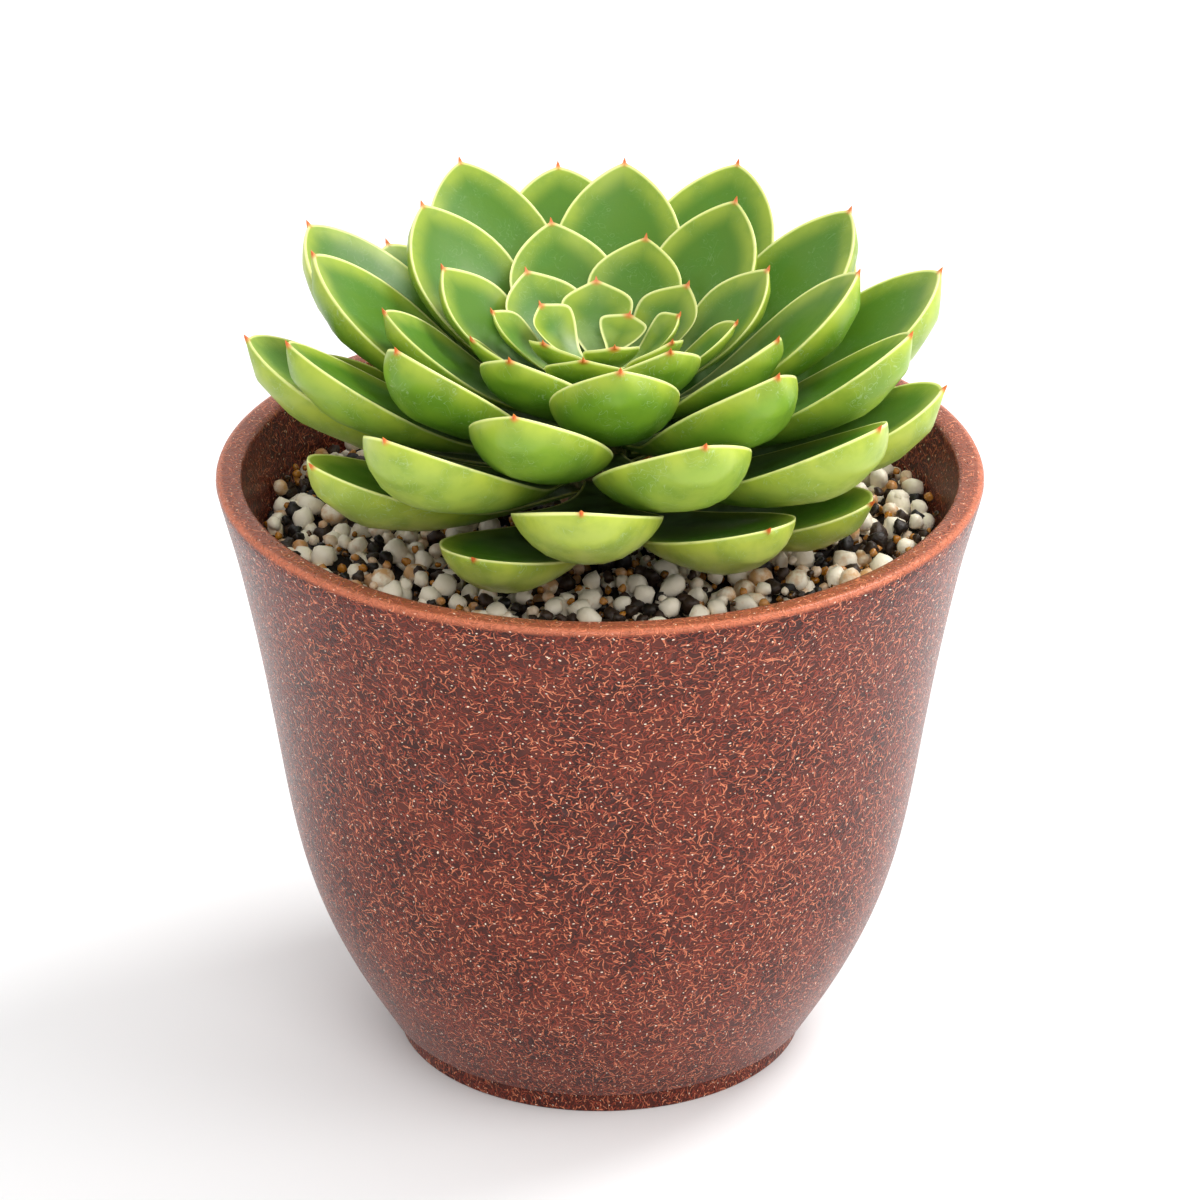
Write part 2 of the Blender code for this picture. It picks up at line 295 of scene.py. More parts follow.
# ---- Pot -------------------------------------------------------------------------------------
def meridian():
    """The pot's closed outline as (radius, height) points, read where the pot crosses +X."""
    copy = merged_copy("pot")
    mesh = copy.data
    on_it = {v.index for v in mesh.vertices if abs(v.co.y) < MERGE and v.co.x > 0}
    links = {index: [] for index in on_it}
    for edge in mesh.edges:
        a, b = edge.vertices
        if a in on_it and b in on_it:
            links[a].append(b)
            links[b].append(a)
    start = min(on_it, key=lambda index: mesh.vertices[index].co.x + mesh.vertices[index].co.z)
    walk = [start]
    while True:
        ahead = [n for n in links[walk[-1]] if n not in walk]
        if not ahead:
            break
        walk.append(ahead[0])
    outline = [(mesh.vertices[index].co.x, mesh.vertices[index].co.z) for index in walk]
    bpy.data.objects.remove(copy, do_unlink=True)
    return np.array(outline)


def turn(a, b, c):
    """By what angle a line turns at b."""
    first, second = b - a, c - b
    angle = atan2(second[1], second[0]) - atan2(first[1], first[0])
    return abs((angle + pi) % (2 * pi) - pi)


def smoothed(outline, step):
    """The outline with its gentle stretches curved through their points, and its corners kept."""
    count = len(outline)
    points = []
    for k in range(count):
        before, here, after, beyond = (outline[(k + j) % count] for j in (-1, 0, 1, 2))
        start_slope = (after - before) / 2 if turn(before, here, after) < CORNER else after - here
        end_slope = (beyond - here) / 2 if turn(here, after, beyond) < CORNER else after - here
        length = np.linalg.norm(after - here)
        start_slope = start_slope / np.linalg.norm(start_slope) * length
        end_slope = end_slope / np.linalg.norm(end_slope) * length
        pieces = max(1, round(length / step))
        for t in np.arange(pieces) / pieces:
            points.append(
                (2 * t**3 - 3 * t**2 + 1) * here
                + (t**3 - 2 * t**2 + t) * start_slope
                + (3 * t**2 - 2 * t**3) * after
                + (t**3 - t**2) * end_slope
            )
    return points


# The layers of fibres in the pot's skin, each with its spacing in millimetres. The layers are moved
# apart so that their fibres cross, and a slow sway curls them.
FIBRE_SPACINGS = (1.45, 1.75, 1.25, 2.1, 1.6, 1.35)
FIBRE_SHIFT = (0.37, 0.61)
LEAST_BEND, MORE_BEND = 0.22, 0.9  # a fibre's radius, as a share of the spacing
LEAST_REACH, MORE_REACH = 0.28, 0.35  # half its length, as a share of the spacing
SWAY_SIZE, SWAY = 1.6 * MM, 1.1 * MM
SKIN_RADIUS = 48 * MM  # turns an angle round the pot into a length
# Round marks in the skin: the spacing and the width of each kind in millimetres. The last kind
# are cream dots of painted highlight.
PORES, BARE_ENDS, HIGHLIGHT_DOTS = (1.9, 0.42), (1.7, 0.28), (2.3, 0.30)
# Patch sizes of the darker resin and of the painted grey reflections.
DRIFT_SIZE, GREY_REFLECTION_SIZE = 7 * MM, 5 * MM
# The rim's painted highlight: from where to where it brightens, below the top and in from the
# outer edge.
RIM_DEPTHS, RIM_INSETS = (1.2 * MM, 0.3 * MM), (1.3 * MM, 0.5 * MM)


def fibre_layer(skin, flat, number, spacing, fibre_width):
    """One layer of curled fibres, one to a cell: where they lie, and how bright each is."""
    moved = skin.vector("ADD", flat, (FIBRE_SHIFT[0] * number, FIBRE_SHIFT[1] * number, 0.0))
    place = skin.scaled(moved, 1 / (spacing * MM))
    cells = skin.add("ShaderNodeTexVoronoi", {"Vector": place, "Scale": 1.0}, voronoi_dimensions="2D")
    chance = skin.separate(cells.outputs["Color"], "ShaderNodeSeparateColor")
    offset = skin.vector("SUBTRACT", place, cells.outputs["Position"])
    bend = skin.calc("MULTIPLY_ADD", chance["Green"], MORE_BEND, LEAST_BEND)
    angle = skin.calc("MULTIPLY", chance["Red"], 2 * pi)
    sides = {
        "X": skin.calc("MULTIPLY", skin.calc("COSINE", angle), bend),
        "Y": skin.calc("MULTIPLY", skin.calc("SINE", angle), bend),
    }
    centre = skin.add("ShaderNodeCombineXYZ", sides).outputs[0]
    from_centre = skin.vector("DISTANCE", offset, centre, output="Value")
    off_line = skin.calc("ABSOLUTE", skin.calc("SUBTRACT", from_centre, bend))
    half = 0.5 * fibre_width / (spacing * MM)
    line = skin.fade(off_line, half, 0.35 * half)
    reach = skin.calc("MULTIPLY_ADD", chance["Blue"], MORE_REACH, LEAST_REACH)
    ends = skin.fade(skin.calc("SUBTRACT", cells.outputs["Distance"], reach), 0.06, -0.02)
    fibre = skin.calc("MULTIPLY", line, ends)
    return fibre, skin.calc("MULTIPLY", fibre, skin.calc("MULTIPLY_ADD", chance["Green"], 0.75, 0.25))


def dots(skin, flat, spacing, width):
    """Round marks, one to a cell of this spacing."""
    sockets = {"Vector": flat, "Scale": 1 / (spacing * MM)}
    cell = skin.add("ShaderNodeTexVoronoi", sockets, voronoi_dimensions="2D")
    return skin.fade(cell.outputs["Distance"], 0.5 * width / spacing, 0.3 * width / spacing)


def biocomposite(settings):
    """Compression-moulded biocomposite: short plant fibres in a dyed resin. The fibres lie curled in
    the skin, where they stand a little proud and catch the light, among pores and cream dots of
    painted highlight. Grey patches are painted reflections, and a painted highlight brightens the rim."""
    skin = Material("moulded_biocomposite")
    place = skin.place()

    # The pot's skin laid flat: round the pot, and along its outline.
    parts = skin.separate(place)
    round_it = skin.calc("MULTIPLY", skin.calc("ARCTAN2", parts["X"], parts["Y"]), SKIN_RADIUS)
    flat = skin.add("ShaderNodeCombineXYZ", {"X": round_it, "Y": skin.attribute("run")}).outputs[0]
    sway = skin.patches(place, SWAY_SIZE, 1.0, output="Color")
    sway = skin.vector("SUBTRACT", sway, (0.5, 0.5, 0.5))
    flat = skin.vector("ADD", flat, skin.scaled(sway, SWAY))

    fibres, tone = fibre_layer(skin, flat, 0, FIBRE_SPACINGS[0], settings.fibre_width)
    for number, spacing in enumerate(FIBRE_SPACINGS[1:], 1):
        fibre, bright = fibre_layer(skin, flat, number, spacing, settings.fibre_width)
        fibres = skin.calc("MAXIMUM", fibres, fibre)
        tone = skin.calc("MAXIMUM", tone, bright)

    drift = skin.fade(skin.patches(place, DRIFT_SIZE, 4.0), 0.3, 0.7)
    final = skin.mix(drift, rgba(settings.body_dark), rgba(settings.body))
    final = skin.mix(skin.calc("MULTIPLY", tone, 0.9), final, rgba(settings.fibre))
    final = skin.mix(skin.fade(tone, 0.72, 1.0, high=0.6), final, rgba(settings.fibre_light))
    pore = dots(skin, flat, *PORES)
    final = skin.mix(skin.calc("MULTIPLY", pore, 0.85), final, rgba(settings.pore))
    final = skin.mix(dots(skin, flat, *BARE_ENDS), final, rgba(settings.fibre_light))
    # Cream dots: painted highlights on the glossy skin.
    final = skin.mix(dots(skin, flat, *HIGHLIGHT_DOTS), final, rgba(settings.highlight_dot))
    # Grey patches: painted reflections of the white surroundings in the glossy resin.
    grey_reflection = skin.fade(skin.patches(place, GREY_REFLECTION_SIZE, 3.0), 0.66, 0.76, high=0.35)
    final = skin.mix(grey_reflection, final, rgba(settings.grey_reflection))
    # A painted highlight brightens the moulded rim along its top, most along its outer edge.
    high = skin.fade(parts["Z"], *(POT_HIGH.z - depth for depth in RIM_DEPTHS))
    away = skin.vector("LENGTH", skin.vector("MULTIPLY", place, (1.0, 1.0, 0.0)), output="Value")
    outer = skin.fade(away, *(POT_HIGH.x - inset for inset in RIM_INSETS), low=0.3, high=0.75)
    final = skin.mix(skin.calc("MULTIPLY", high, outer), final, rgba(settings.rim_highlight))

    finish = {
        "Base Color": final,
        "Normal": skin.relief(skin.calc("SUBTRACT", fibres, pore), 1.0, 0.2 * MM),
        "Roughness": 0.28,
        "IOR": 1.5,
        "Specular IOR Level": 0.25,
    }
    skin.connect(skin.shader, finish)
    return skin.result


class POT_OT_body(bpy.types.Operator):
    """Turns the pot from its outline"""

    bl_idname = "succulent.pot"
    bl_label = "Pot"

    def execute(self, context):
        settings = context.scene.succulent_pot
        outline = smoothed(meridian(), settings.step)
        bpy.ops.object.select_all(action="DESELECT")
        bpy.ops.mesh.primitive_circle_add(vertices=len(outline), fill_type="NOTHING")
        pot = context.active_object
        for vertex, (radius, height) in zip(pot.data.vertices, outline):
            vertex.co = (radius, 0.0, height)
        bpy.ops.object.mode_set(mode="EDIT")
        bpy.ops.mesh.select_all(action="SELECT")
        bpy.ops.mesh.spin(steps=settings.sides, angle=2 * pi, center=(0, 0, 0), axis=(0, 0, 1))
        bpy.ops.mesh.select_all(action="SELECT")
        bpy.ops.mesh.remove_doubles(threshold=MERGE)
        bpy.ops.mesh.normals_make_consistent(inside=False)
        bpy.ops.object.mode_set(mode="OBJECT")
        lengths = running_length(np.array(outline))
        nearest = KDTree(len(outline))
        for index, (radius, height) in enumerate(outline):
            nearest.insert((radius, height, 0.0), index)
        nearest.balance()
        runs = [lengths[nearest.find((v.co.xy.length, v.co.z, 0.0))[1]] for v in pot.data.vertices]
        set_attribute(pot.data, "run", runs)
        bpy.ops.object.modifier_add(type="BEVEL")
        bevel = pot.modifiers[-1]
        bevel.width = settings.edge_round
        bevel.segments = 3
        bevel.limit_method = "ANGLE"
        bevel.angle_limit = CORNER
        bpy.ops.object.modifier_apply(modifier=bevel.name)
        bpy.ops.object.shade_smooth()
        finish_piece(pot, "pot_shell", biocomposite(settings), ["pot"])
        return {"FINISHED"}


# ---- Gravel and soil -------------------------------------------------------------------------
# Each kind of grain: its least and greatest radius, and how lumpy it is. Large kinds are laid first.
GRAINS = {
    "pumice": (1.2 * MM, 2.15 * MM, 0.30),
    "lava": (0.7 * MM, 1.55 * MM, 0.55),
    "clay": (0.6 * MM, 1.25 * MM, 0.32),
    "amber": (0.4 * MM, 0.75 * MM, 0.45),
}
LAYERS = ((0.2 * MM, 0.5 * MM), (1.7 * MM, 0.4 * MM), (3.0 * MM, 0.3 * MM))  # drop and unevenness
TOP_SHARE = 0.45  # how far above the middle of the gravel's box its surface lies
CLOSEST = 0.86  # grains come this close, as a share of the sum of their radii
STRETCH = (0.82, 1.15)  # least and greatest stretch of a grain along each way
STEM_ROOM = 5.5 * MM
BED_SKIN, BED_DROP = 1.5 * MM, 2.4 * MM  # the top of the bed is lowered to lie under the grains
PIT_SIZE, PIT_DEPTH = 0.45 * MM, 0.15 * MM
GRAVEL_SEED = 11


def grain_material(name, tones, patch, roughness, relief):
    """Porous mineral: each grain has its own tone, and fine pits break up its surface."""
    stone = Material(name)
    place = stone.place()
    mixed = stone.calc("ADD", stone.patches(place, patch, 4.0), stone.attribute("tone"))
    finish = {
        "Base Color": stone.ramp(stone.calc("MULTIPLY", mixed, 0.5), tones),
        "Normal": stone.relief(stone.patches(place, PIT_SIZE, 3.0), relief, PIT_DEPTH),
        "Roughness": roughness,
    }
    stone.connect(stone.shader, finish)
    return stone.result


def gravel_materials(settings):
    """Pale tumbled pumice, dark rough cinder, tan fired clay, small glossy amber bits, and dull peat,
    which also colours the bed under the grains as painted shade in the gaps between them.
    """
    pale, stain, tan, amber = settings.pale, settings.pale_stain, settings.tan, settings.amber_tone
    dark, deep = settings.dark, settings.dark_deep
    finishes = {
        "pumice": ("tumbled_pumice", ((0.24, stain), (0.38, pale), (0.80, pale)), 1.6 * MM, 0.45, 0.35),
        "lava": ("black_lava_cinder", ((0.36, deep), (0.66, dark)), 0.8 * MM, 0.5, 1.0),
        "clay": ("fired_clay_grit", ((0.25, tan), (0.75, pale)), 1.3 * MM, 0.35, 0.5),
        "amber": ("amber_quartz_grit", ((0.3, dark), (0.5, amber), (0.75, tan)), 0.8 * MM, 0.25, 0.3),
        "soil": ("peat_soil", ((0.3, settings.soil), (0.9, dark)), 0.7 * MM, 0.95, 1.0),
    }
    return {kind: grain_material(*finish) for kind, finish in finishes.items()}


def grain_shapes(lumpiness, rng, count=6):
    """A few lumpy grains of unit radius, each shaped from a ball."""
    shapes = []
    for _ in range(count):
        bpy.ops.object.select_all(action="DESELECT")
        bpy.ops.mesh.primitive_ico_sphere_add(subdivisions=2, radius=1.0)
        ball = bpy.context.active_object
        offset = Vector(rng.uniform(-20, 20, 3))
        points = []
        for vertex in ball.data.vertices:
            swell = noise.noise(vertex.co * 1.1 + offset) + 0.5 * noise.noise(vertex.co * 2.3 + offset)
            points.append(vertex.co * (1 + lumpiness * swell))
        faces = [tuple(face.vertices) for face in ball.data.polygons]
        bpy.data.objects.remove(ball, do_unlink=True)
        shapes.append((np.array(points), np.array(faces)))
    return shapes


def turned_at_random(rng):
    """A rotation matrix from a random unit quaternion."""
    quaternion = rng.normal(size=4)
    w, x, y, z = quaternion / np.linalg.norm(quaternion)
    return np.array(
        (
            (1 - 2 * (y * y + z * z), 2 * (x * y - z * w), 2 * (x * z + y * w)),
            (2 * (x * y + z * w), 1 - 2 * (x * x + z * z), 2 * (y * z - x * w)),
            (2 * (x * z - y * w), 2 * (y * z + x * w), 1 - 2 * (x * x + y * y)),
        )
    )


def scatter(name, places, lumpiness, mat, rng):
    """One piece that holds a lumpy grain at each (centre, radius)."""
    shapes = grain_shapes(lumpiness, rng)
    all_points, all_faces, tones = [], [], []
    start = 0
    for centre, radius in places:
        points, faces = shapes[rng.integers(len(shapes))]
        stretch = rng.uniform(*STRETCH, 3)
        placed = (points * stretch) @ turned_at_random(rng).T * radius + centre
        all_points.append(placed)
        all_faces.append(faces + start)
        tones.append(np.full(len(points), rng.uniform()))
        start += len(points)
    mesh = bpy.data.meshes.new(name)
    mesh.from_pydata(np.concatenate(all_points).tolist(), [], np.concatenate(all_faces).tolist())
    set_attribute(mesh, "tone", np.concatenate(tones))
    mesh.shade_smooth()
    obj = bpy.data.objects.new(name, mesh)
    bpy.context.scene.collection.objects.link(obj)
    finish_piece(obj, name, mat)


def inside_wall(outline, height):
    """The pot's inner radius at this height."""
    crossings = []
    for (r1, z1), (r2, z2) in zip(outline, np.roll(outline, -1, axis=0)):
        if (z1 - height) * (z2 - height) < 0:
            crossings.append(r1 + (r2 - r1) * (height - z1) / (z2 - z1))
    return min(crossings)


def lay_grains(tries, wall, level, spread, rng):
    """One layer of grains, with this many tries for each kind. One with no free place is left out."""
    laid = {}
    taken = np.array(((0.0, 0.0, STEM_ROOM),))
    for name, (least, greatest, _) in GRAINS.items():
        laid[name] = []
        for _ in range(tries[name]):
            radius = rng.uniform(least, greatest)
            away = (wall - radius) * rng.uniform() ** 0.5
            angle = rng.uniform(0, 2 * pi)
            x, y = away * cos(angle), away * sin(angle)
            if (np.hypot(taken[:, 0] - x, taken[:, 1] - y) < CLOSEST * (taken[:, 2] + radius)).any():
                continue
            z = level + rng.uniform(-spread, spread)
            laid[name].append(((x, y, z), radius))
            taken = np.vstack((taken, (x, y, radius)))
    return laid


class GRAVEL_OT_grains(bpy.types.Operator):
    """Lays the top dressing grain by grain"""

    bl_idname = "succulent.gravel"
    bl_label = "Gravel"

    def execute(self, context):
        settings = context.scene.succulent_gravel
        rng = np.random.default_rng(GRAVEL_SEED)
        level = (GRAVEL_LOW.z + GRAVEL_HIGH.z) / 2 + TOP_SHARE * (GRAVEL_HIGH.z - GRAVEL_LOW.z)
        wall = inside_wall(meridian(), level)
        tries = {name: getattr(settings, name) for name in GRAINS}
        layers = [lay_grains(tries, wall, level - drop, spread, rng) for drop, spread in LAYERS]
        materials = gravel_materials(settings)
        for name, (_, _, lumpiness) in GRAINS.items():
            places = [place for layer in layers for place in layer[name]]
            scatter(f"gravel_{name}", places, lumpiness, materials[name], rng)

        # The bed under the grains is coloured dark: painted shade in the gaps between them.
        bed = merged_copy("gravel")
        for vertex in bed.data.vertices:
            if vertex.co.z > level - BED_SKIN:
                vertex.co.z -= BED_DROP
        finish_piece(bed, "gravel_bed", materials["soil"], ["gravel"])
        cover(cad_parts["potting_mix"], materials["soil"])
        return {"FINISHED"}


# ---- Stem ------------------------------------------------------------------------------------
YOUNG_FROM, YOUNG_TO = 10 * MM, 3 * MM  # below the stem's top, where its skin turns from old to young
RIDGE_SIZE, RIDGE_DEPTH = 1.2 * MM, 0.3 * MM


def stem_skin(settings):
    """Succulent stem: corky tan skin where it is old, and fresh green at its growing top."""
    skin = Material("corky_stem")
    place = skin.place()
    ridges = skin.patches(place, RIDGE_SIZE, 3.0, distortion=0.6)
    old = skin.ramp(ridges, ((0.35, settings.furrow), (0.65, settings.cork)))
    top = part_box("stem")[1].z
    height = skin.separate(place)["Z"]
    young = skin.fade(height, top - YOUNG_FROM, top - YOUNG_TO, interpolation="LINEAR")
    finish = {
        "Base Color": skin.mix(young, old, rgba(settings.young)),
        "Normal": skin.relief(ridges, 0.5, RIDGE_DEPTH),
        "Roughness": 0.7,
    }
    skin.connect(skin.shader, finish)
    return skin.result


class STEM_OT_skin(bpy.types.Operator):
    """Gives the stem its corky skin"""

    bl_idname = "succulent.stem"
    bl_label = "Stem"

    def execute(self, context):
        cover(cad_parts["stem"], stem_skin(context.scene.succulent_stem))
        return {"FINISHED"}


# ---- Leaves ----------------------------------------------------------------------------------
# Stations across a leaf from margin to margin, and along it. The last stations are its point.
ACROSS = (-1.0, -0.975, -0.93, -0.85, -0.70, -0.50, -0.25, 0.0, 0.25, 0.50, 0.70, 0.85, 0.93, 0.975, 1.0)
ALONG = np.concatenate((np.linspace(0.0, 0.80, 21), 1.0 - 0.20 * (1 - np.linspace(0.06, 1.0, 16)) ** 1.5))
POINT = (0.25, 0.5, 0.75, 0.92, 1.0)
THICKNESS_AT = ((0.0, 0.15, 0.35, 0.60, 0.78, 0.92, 1.0), (0.20, 0.26, 0.42, 0.82, 1.0, 0.70, 0.12))
POINT_LENGTH, POINT_WIDTH = 1.3 * MM, 0.9 * MM  # of the oldest leaves
POINT_LIFT = 0.25  # how much steeper than the leaf its point stands
BASE_INSET, BASE_BAND = 0.2 * MM, 0.4 * MM  # where a leaf's inner end is read
DEEPEST = 2.6  # a steep leaf's hollow grows by no more than this
UNDER_CURVE, UNDER_FULLNESS = 2.4, 0.75  # how round the under face is from margin to margin
UNDER_INSET = 0.985  # the under face's margins lie this far out, so that a leaf's edge is rounded
FULL_WIDTH = 24 * MM  # a leaf of this width gets the whole wobble
SWELL_SIZE = 14 * MM
YOUNGEST_AGE = 0.04  # the oldest leaf's age is 1


class LeafShape:
    """A leaf's sizes, read from its CAD node, and the place of any point of its surface."""

    def __init__(self, node, age, settings):
        self.settings = settings
        self.age = age
        self.mucro = 0.4 + 0.6 * age
        points = coordinates(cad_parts[node].data)
        out = np.hypot(points[:, 0], points[:, 1])
        tip = points[out.argmax()]
        self.turn = atan2(tip[1], tip[0])
        c, s = cos(self.turn), sin(self.turn)
        local = points @ np.array(((c, -s, 0), (s, c, 0), (0, 0, 1)))
        self.base_radius = local[:, 0].min() + BASE_INSET
        near = local[:, 0] < self.base_radius + BASE_BAND
        self.base_height = local[near, 2].max()
        self.reach = out.max()
        self.rise = tip[2] - self.base_height
        slope = float(self.slope(self.reach))
        ahead = self.mucro * POINT_LENGTH / hypot(1.0, slope)
        self.reach -= ahead
        self.rise -= ahead * slope
        self.width = 2.0 * np.abs(local[:, 1]).max()
        radius = np.hypot(local[:, 0], local[:, 1])
        depth = (self.height(radius) - local[:, 2]) / np.hypot(1.0, self.slope(radius))
        self.thickness = depth.max() / (1.0 + settings.hollow)

    def height(self, radius):
        """The bowl that the leaf's margins lie on."""
        out = np.maximum(radius - self.base_radius, 0.0) / (self.reach - self.base_radius)
        return self.base_height + self.rise * out**self.settings.upturn

    def slope(self, radius):
        """How steep that bowl is."""
        span = self.reach - self.base_radius
        out = np.maximum(radius - self.base_radius, 0.0) / span
        upturn = self.settings.upturn
        return self.rise * upturn * np.maximum(out, 1e-6) ** (upturn - 1) / span

    def radius_at(self, share_out):
        """How far out a point at this share of the leaf's length is."""
        radii = np.linspace(self.base_radius, self.reach, 60)
        lengths = running_length(np.stack((radii, self.height(radii)), axis=-1))
        return np.interp(share_out * lengths[-1], lengths, radii)

    def half_width(self, share_out):
        """Spoon shaped: narrow at the stem, with an old leaf's end blunt and a young one's pointed."""
        young = min(1.0, (1.0 - self.age) * 1.15)
        sharpness = 0.56 + 0.34 * young
        fullness = 2.4 - 0.7 * young
        widest, base = self.settings.widest_at, self.settings.base_width
        lower = np.sin(np.clip(share_out / widest, 0.0, 1.0) * pi / 2) ** 2
        past = np.clip((share_out - widest) / (1.0 - widest), 0.0, 1.0)
        upper = np.maximum(1.0 - past**fullness, 0.0) ** sharpness
        return self.width / 2 * np.where(share_out < widest, base + (1.0 - base) * lower, upper)

    def surface(self, across, along, under, point):
        """Places, one for each given point. point is how far along the leaf's point it lies."""
        radius = self.radius_at(along)
        taper = (1.0 - point) ** 0.8
        least = self.mucro * POINT_WIDTH * taper
        half = np.maximum(self.half_width(along) * (point == 0), least / 2)
        thick = self.thickness * np.interp(along, *THICKNESS_AT) * (point == 0)
        thick = np.maximum(thick, least)
        side = across * half
        slope = self.slope(radius)
        dip = self.settings.hollow * thick * (1 - across**2) * np.minimum(np.hypot(1.0, slope), DEEPEST)
        top = self.height(np.hypot(radius, side)) - dip * (point == 0)
        depth = thick * (1 - np.abs(across) ** UNDER_CURVE) ** UNDER_FULLNESS * under
        normal = np.stack((-slope * radius, -slope * side, np.hypot(radius, side)), axis=-1)
        normal /= np.linalg.norm(normal, axis=-1)[:, None]
        places = np.stack((radius, side, top), axis=-1) - normal * depth[:, None]
        ahead = np.array((1.0, 0.0, float(self.slope(self.reach)) + POINT_LIFT))
        ahead *= self.mucro * POINT_LENGTH / np.linalg.norm(ahead)
        places += point[:, None] * ahead
        c, s = cos(self.turn), sin(self.turn)
        return places @ np.array(((c, s, 0.0), (-s, c, 0.0), (0.0, 0.0, 1.0)))


def leaf_blank():
    """A closed flat blank: a grid with one row for each station, given a second layer under it."""
    bpy.ops.object.select_all(action="DESELECT")
    rows = len(ALONG) + len(POINT)
    bpy.ops.mesh.primitive_grid_add(x_subdivisions=len(ACROSS) - 1, y_subdivisions=rows - 1, size=2.0)
    blank = bpy.context.active_object
    bpy.ops.object.mode_set(mode="EDIT")
    bpy.ops.mesh.select_all(action="SELECT")
    bpy.ops.mesh.extrude_region_move(TRANSFORM_OT_translate={"value": (0, 0, -1)})
    bpy.ops.mesh.select_all(action="SELECT")
    bpy.ops.mesh.normals_make_consistent(inside=False)
    bpy.ops.object.mode_set(mode="OBJECT")
    bpy.ops.object.shade_smooth()
    flat = coordinates(blank.data)
    column = np.rint((flat[:, 0] + 1) / 2 * (len(ACROSS) - 1)).astype(int)
    row = np.rint((flat[:, 1] + 1) / 2 * (rows - 1)).astype(int)
    under = (flat[:, 2] < -0.5).astype(float)
    across = np.array(ACROSS)[column] * np.where(under > 0, UNDER_INSET, 1.0)
    along = np.concatenate((ALONG, np.ones(len(POINT))))[row]
    point = np.concatenate((np.zeros(len(ALONG)), POINT))[row]
    return blank, across, along, under, point


MOTTLE_SIZE, SCRATCH_SIZE, SKIN_GRAIN = 5 * MM, 2.2 * MM, 0.5 * MM
LIT_EDGE = (4.2, 0.2)  # from where to where the thin edge brightens, in millimetres from the margin


def living_leaf(settings):
    """Living succulent leaf: thick, water-filled tissue under a waxy skin. The skin gives a soft
    gloss and a pale bloom low on the leaf, laid on with a painted sheen. Both faces darken towards
    the stem with painted shade, the pale margin line carries a painted highlight, and the margins
    and tips pass light and look brighter."""
    skin = Material("succulent_leaf")
    fade, mix = skin.fade, skin.mix
    place = skin.place()
    edge_mm, tip_mm, along, under, age = (
        skin.attribute(name) for name in ("edge_mm", "tip_mm", "along", "under", "age")
    )
    mottle = skin.patches(place, MOTTLE_SIZE, 4.0)

    def times(first, second):
        return skin.calc("MULTIPLY", first, second)

    # The two faces: darker towards the stem, a painted shade where the leaves crowd round it,
    # with a veil of waxy bloom and painted sheen low on the upper one.
    upper = mix(fade(along, 0.15, 0.75), rgba(settings.upper_shade_near_stem), rgba(settings.upper))
    # The veil low on the upper face is waxy bloom with a painted sheen.
    bloom_and_sheen_veil = times(fade(along, 0.75, 0.30), fade(mottle, 0.35, 0.65))
    upper = mix(times(bloom_and_sheen_veil, 0.5), upper, rgba(settings.bloom_and_sheen))
    # The under face too is darker towards the stem: painted shade.
    low_down = fade(along, 0.25, 0.70)
    under_tone = mix(fade(age, 0.45, 0.95), rgba(settings.under), rgba(settings.under_old))
    lower = mix(low_down, rgba(settings.under_shade_and_mottle), under_tone)
    base = mix(under, upper, lower)
    lit_rim = times(fade(edge_mm, *LIT_EDGE), fade(along, 0.2, 0.6, low=0.3, high=0.85))
    lit_rim = times(lit_rim, fade(under, 0.0, 1.0, low=0.72))
    base = mix(lit_rim, base, rgba(settings.glow))
    base = mix(fade(mottle, 0.35, 0.7, high=0.4), base, rgba(settings.under_shade_and_mottle))
    # Fine pale scratches in the bloom, then the pale line of the margin with a painted highlight
    # along it, and the red of the tip.
    scratches = skin.patches(place, SCRATCH_SIZE, 1.0, distortion=1.5)
    ridge = skin.calc("ABSOLUTE", skin.calc("SUBTRACT", scratches, 0.5))
    scratch = times(fade(ridge, 0.016, 0.004, high=0.4), fade(mottle, 0.45, 0.55))
    scratch = times(scratch, fade(under, 0.0, 1.0, low=0.25))
    base = mix(scratch, base, rgba(settings.bloom_and_sheen))
    line, blush = settings.margin_width / MM, settings.blush / MM
    # The pale margin line, with a painted highlight along the edge.
    base = mix(fade(edge_mm, 1.6 * line, 0.5 * line, high=0.85), base, rgba(settings.margin))
    base = mix(fade(tip_mm, blush, 0.35 * blush, high=0.85), base, rgba(settings.tip))

    finish = {
        "Base Color": base,
        "Normal": skin.relief(skin.patches(place, SKIN_GRAIN, 2.0), 0.12, 0.1 * MM),
        "Roughness": fade(mottle, 0.3, 0.7, low=0.30, high=0.42),
        "IOR": 1.42,
        "Specular IOR Level": 0.4,
        "Subsurface Weight": 0.18,
        "Subsurface Radius": (0.9, 1.0, 0.25),
        "Subsurface Scale": 2.0 * MM,
    }
    skin.connect(skin.shader, finish)
    return skin.result


def distance_to(points, targets):
    """How far each point is from the nearest target."""
    tree = KDTree(len(targets))
    for index, target in enumerate(targets):
        tree.insert(target, index)
    tree.balance()
    return np.array([tree.find(point)[2] for point in points])


def dense_margin(shape):
    """Points close together along both margins of a leaf, round its end."""
    along = np.concatenate((np.linspace(0.0, 0.9, 120), np.linspace(0.9, 1.0, 80)))
    ones = np.ones(len(along))
    sides = [shape.surface(side * ones, along, 0 * ones, 0 * ones) for side in (-1.0, 1.0)]
    return np.concatenate(sides)


